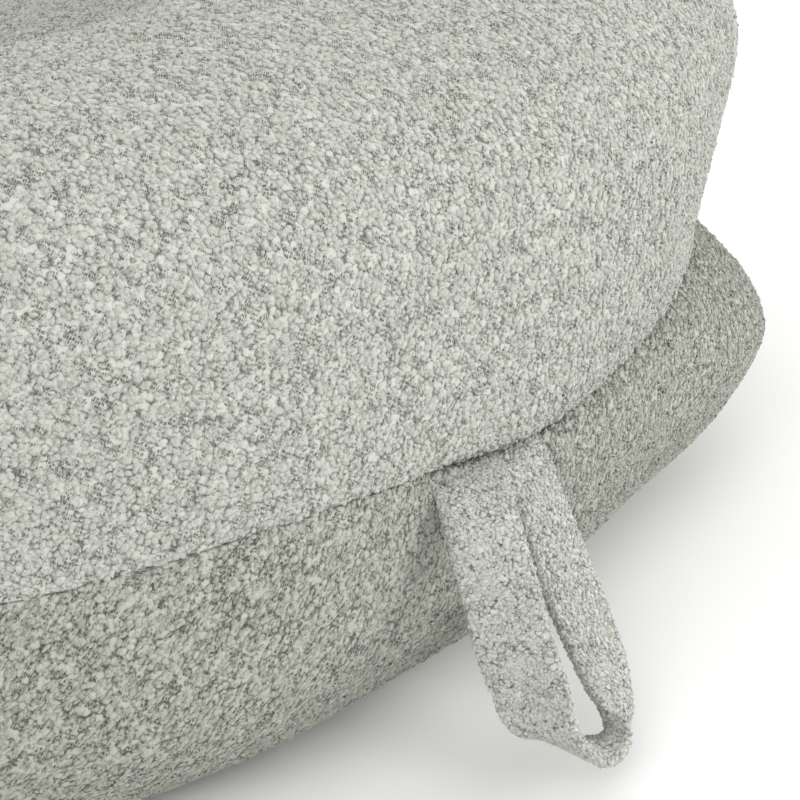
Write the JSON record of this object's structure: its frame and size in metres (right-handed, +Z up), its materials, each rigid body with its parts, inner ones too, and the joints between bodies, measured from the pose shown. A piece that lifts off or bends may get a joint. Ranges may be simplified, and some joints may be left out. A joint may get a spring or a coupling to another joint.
{
  "type": "giant bean bag",
  "caption": "Round bean bag of giant size in boucle cloth, with a sunken seat inside a full rim, a drawn-in seam round its middle and a cloth carry loop in the seam.",
  "frame": {"origin": "centre of the flat patch that the bag rests on", "axes": "+Z up through the seat; the carry loop is on the -Y side"},
  "size_m": [1.37, 1.4733, 0.4212],
  "materials": {
    "upper_boucle": "pale grey boucle, dense raised knobs on a darker ground",
    "lower_boucle": "pale grey boucle, pulled tighter, so more of its ground shows",
    "loop_boucle": "pale grey boucle, padded strap"
  },
  "bodies": {
    "root": {"lower_panel": "lower_boucle", "upper_panel": "upper_boucle", "carry_loop": "loop_boucle"}
  },
  "joints": []
}
